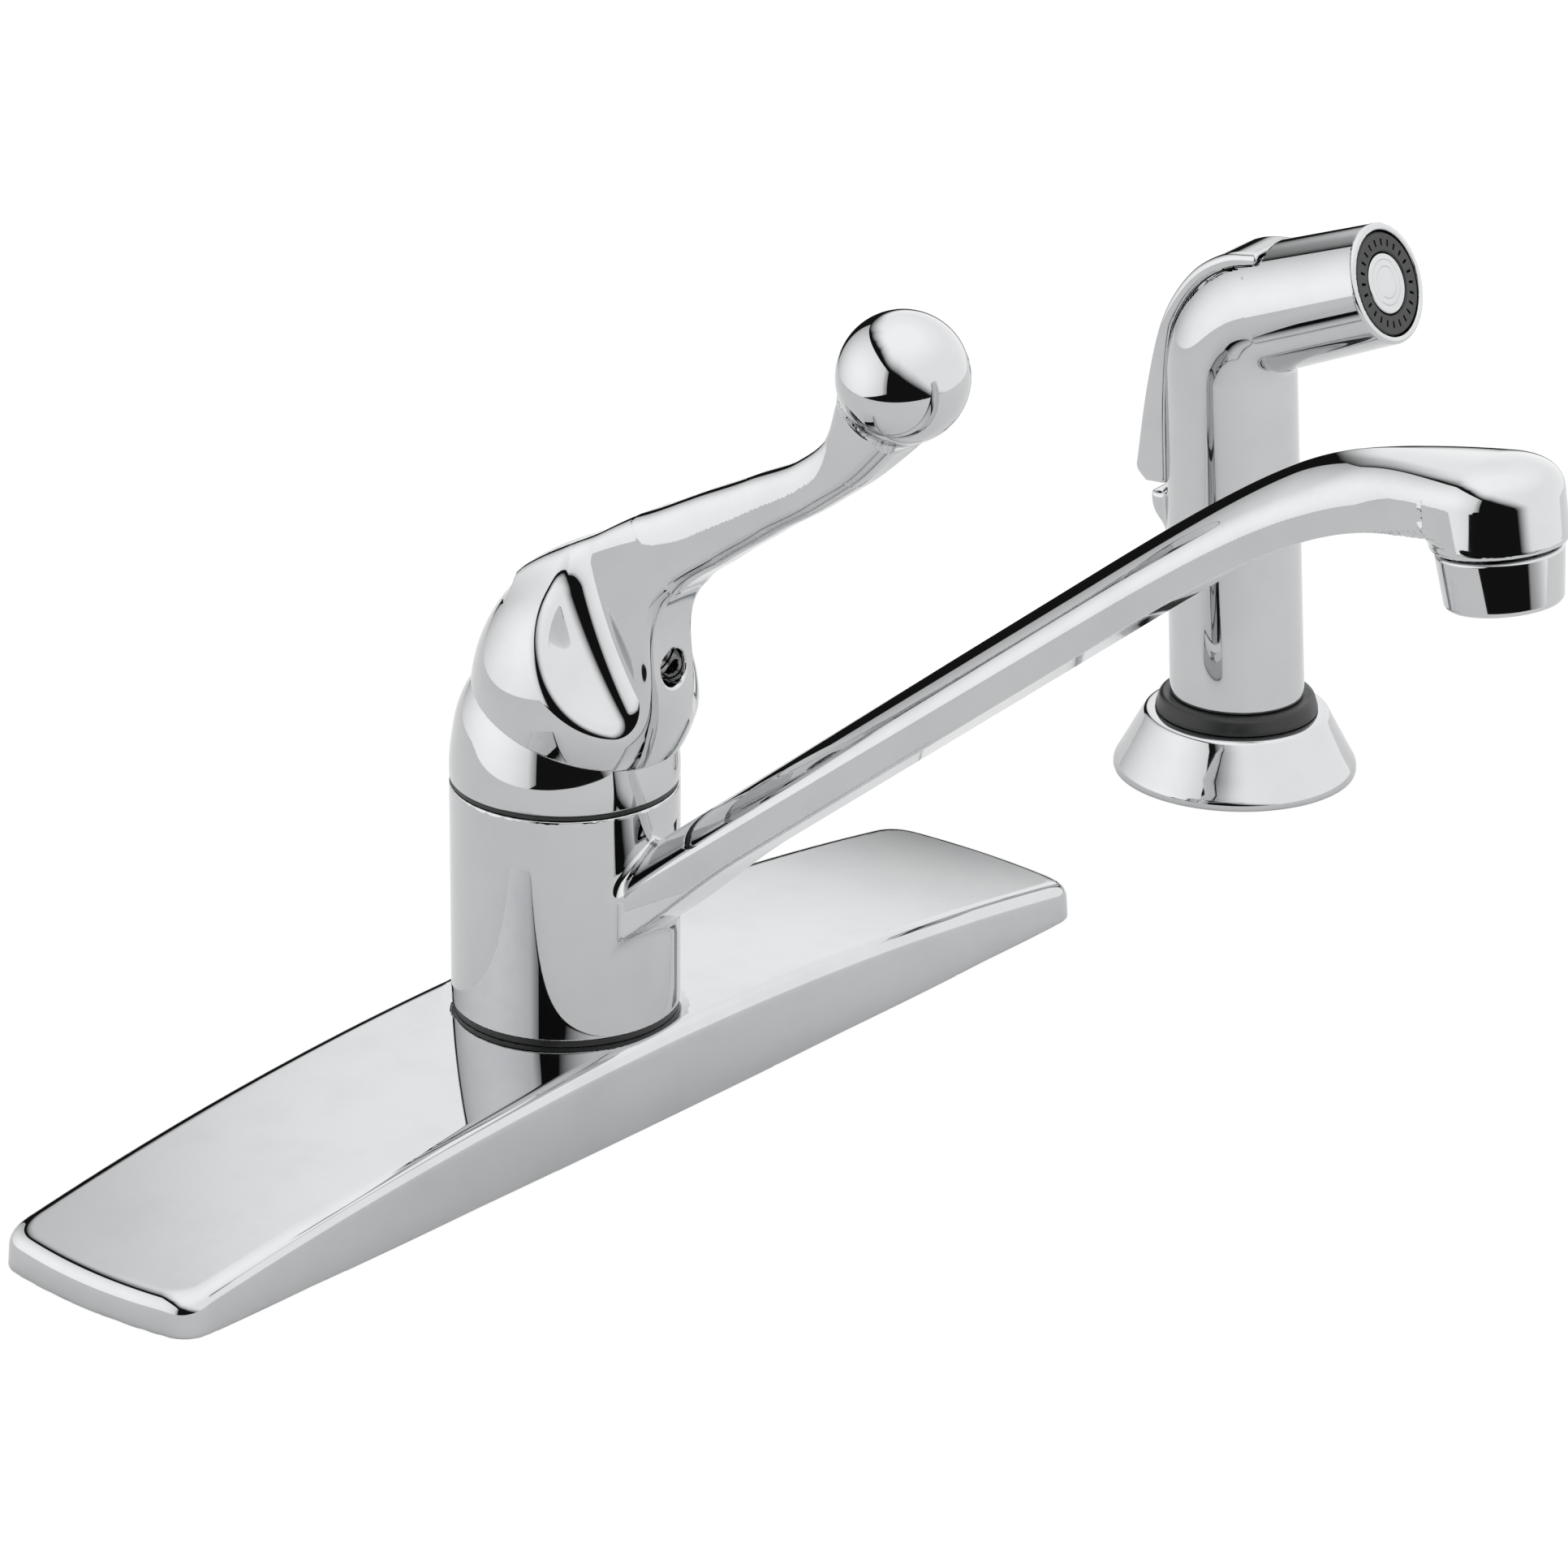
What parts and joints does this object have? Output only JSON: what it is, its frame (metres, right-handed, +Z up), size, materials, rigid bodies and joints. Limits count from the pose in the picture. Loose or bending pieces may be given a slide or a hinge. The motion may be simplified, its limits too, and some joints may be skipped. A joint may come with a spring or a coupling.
{
  "type": "side spray kitchen faucet",
  "caption": "Single lever kitchen faucet on a long deck plate, with a swivelling spout, an aerator, and a separate hand spray with a trigger standing in its own deck holder.",
  "frame": {"origin": "on the turning axis of the spout, at the height of the sink deck that the plate lies on", "axes": "+X along the deck plate towards the side spray, -Y forward in the direction of the spout, +Z up"},
  "size_m": [0.3521, 0.2372, 0.1709],
  "materials": {
    "chrome": "polished",
    "brass": "machined",
    "steel": "plain",
    "rubber": "matte",
    "black_plastic": "matte",
    "white_plastic": "matte"
  },
  "bodies": {
    "base": {"deck_plate": "chrome", "deck_gasket": "rubber", "valve_body": "brass", "body_oring_lower": "rubber", "body_oring_upper": "rubber", "lower_glide_ring": "black_plastic", "seat_left": "rubber", "seat_right": "rubber", "seat_spring_left": "steel", "seat_spring_right": "steel", "diverter": "white_plastic", "upper_glide_ring": "black_plastic", "bonnet_cap": "chrome", "cam": "white_plastic", "cam_packing": "rubber", "adjusting_ring": "brass", "spray_support": "chrome", "support_insert": "black_plastic"},
    "spout": {"spout": "chrome", "aerator_shell": "chrome", "aerator_insert": "white_plastic", "aerator_washer": "rubber"},
    "carrier": {"ball_pin": "steel"},
    "handle": {"handle": "chrome", "valve_ball": "steel", "handle_set_screw": "steel"},
    "sprayer": {"sprayer_body": "chrome", "trigger_pin": "steel", "nozzle_ring": "black_plastic", "nozzle_centre": "chrome", "spray_valve_spring": "steel", "spray_valve_seal": "rubber", "hose_coupling": "brass", "hose_washer": "rubber"},
    "trigger": {"spray_trigger": "chrome"},
    "spray_valve": {"spray_valve": "brass"}
  },
  "joints": [
    {"name": "spout_swivel", "type": "hinge", "parent": "base", "child": "spout", "pos_m": [0, 0, 0.03], "axis": [0, 0, 1], "range_deg": [-60, 60]},
    {"name": "handle_turn", "type": "hinge", "parent": "base", "child": "carrier", "pos_m": [0, 0, 0.0685], "axis": [0, 0, 1], "range_deg": [-40, 40]},
    {"name": "handle_lift", "type": "hinge", "parent": "carrier", "child": "handle", "pos_m": [0, 0, 0.0685], "axis": [-1, 0, 0], "range_deg": [0, 22]},
    {"name": "sprayer_lift", "type": "slide", "parent": "base", "child": "sprayer", "axis": [0, 0, 1], "range_m": [0, 0.12]},
    {"name": "trigger_press", "type": "hinge", "parent": "sprayer", "child": "trigger", "pos_m": [0.2031, 0.00103, 0.10668], "axis": [-0.9954, -0.0958, 0], "range_deg": [0, 4], "stiffness_Nm_per_rad": 2},
    {"name": "valve_push", "type": "slide", "parent": "sprayer", "child": "spray_valve", "axis": [0.0957, -0.9938, 0.0558], "range_m": [0, 0.0022], "deforming": ["spray_valve_spring"]}
  ],
  "couplings": [
    {"joint": "valve_push", "follows": "trigger_press", "m_per_rad": 0.0306}
  ]
}
